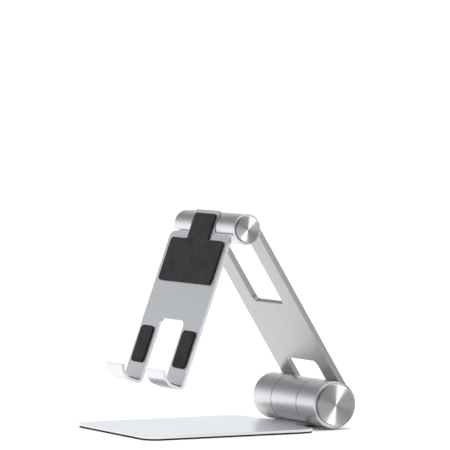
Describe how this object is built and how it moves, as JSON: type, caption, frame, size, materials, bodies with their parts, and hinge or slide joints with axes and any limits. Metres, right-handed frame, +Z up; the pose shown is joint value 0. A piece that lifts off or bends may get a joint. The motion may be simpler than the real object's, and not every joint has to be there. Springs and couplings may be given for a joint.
{
  "type": "tablet stand",
  "caption": "Folding aluminium tablet stand: a flat base, a windowed arm on a wide friction hinge, and a tilting tray with rubber-lined hooks.",
  "frame": {"origin": "on the surface that the stand rests on, under the middle of its bounding box", "axes": "+X along both hinge barrels, to the right of the user who faces the tray, -Y towards that user, +Z up"},
  "size_m": [0.108, 0.1502, 0.1373],
  "materials": {
    "satin_aluminium": "bead-blasted and clear anodised, satin",
    "spun_aluminium": "turned face with fine circular grain, clear anodised",
    "rubber": "matt black silicone",
    "zinc_steel": "bright zinc plated",
    "bush_polymer": "natural acetal"
  },
  "bodies": {
    "base": {"base_plate": "satin_aluminium", "base_mat": "rubber", "base_knuckle": "satin_aluminium", "lower_shaft": "zinc_steel", "base_screw_left": "zinc_steel", "base_screw_right": "zinc_steel", "lower_friction_washer_left": "zinc_steel", "lower_friction_washer_right": "zinc_steel", "lower_disc_spring_left": "zinc_steel", "lower_disc_spring_right": "zinc_steel", "lower_lock_nut_left": "zinc_steel", "lower_lock_nut_right": "zinc_steel"},
    "arm": {"arm_plate": "satin_aluminium", "lower_sleeve_left": "satin_aluminium", "lower_sleeve_right": "satin_aluminium", "lower_bush_left": "bush_polymer", "lower_bush_right": "bush_polymer", "lower_end_cap_left": "spun_aluminium", "lower_end_cap_right": "spun_aluminium", "lower_arm_screw_left": "zinc_steel", "lower_arm_screw_right": "zinc_steel", "upper_sleeve_left": "satin_aluminium", "upper_sleeve_right": "satin_aluminium", "upper_bush_left": "bush_polymer", "upper_bush_right": "bush_polymer", "upper_end_cap_left": "spun_aluminium", "upper_end_cap_right": "spun_aluminium", "upper_arm_screw_left": "zinc_steel", "upper_arm_screw_right": "zinc_steel"},
    "tray": {"tray_plate": "satin_aluminium", "tray_knuckle": "satin_aluminium", "tray_pad": "rubber", "upper_shaft": "zinc_steel", "leg_pad_left": "rubber", "leg_pad_right": "rubber", "hook_seat_left": "rubber", "hook_seat_right": "rubber", "tray_screw_left": "zinc_steel", "tray_screw_right": "zinc_steel", "upper_friction_washer_left": "zinc_steel", "upper_friction_washer_right": "zinc_steel", "upper_disc_spring_left": "zinc_steel", "upper_disc_spring_right": "zinc_steel", "upper_lock_nut_left": "zinc_steel", "upper_lock_nut_right": "zinc_steel"}
  },
  "joints": [
    {"name": "arm_fold", "type": "hinge", "parent": "base", "child": "arm", "pos_m": [0, 0.06035, 0.0156], "axis": [1, 0, 0], "range_deg": [-45, 12]},
    {"name": "tray_tilt", "type": "hinge", "parent": "arm", "child": "tray", "pos_m": [0, -0.00138, 0.12648], "axis": [1, 0, 0], "range_deg": [-128, 51.5]}
  ]
}
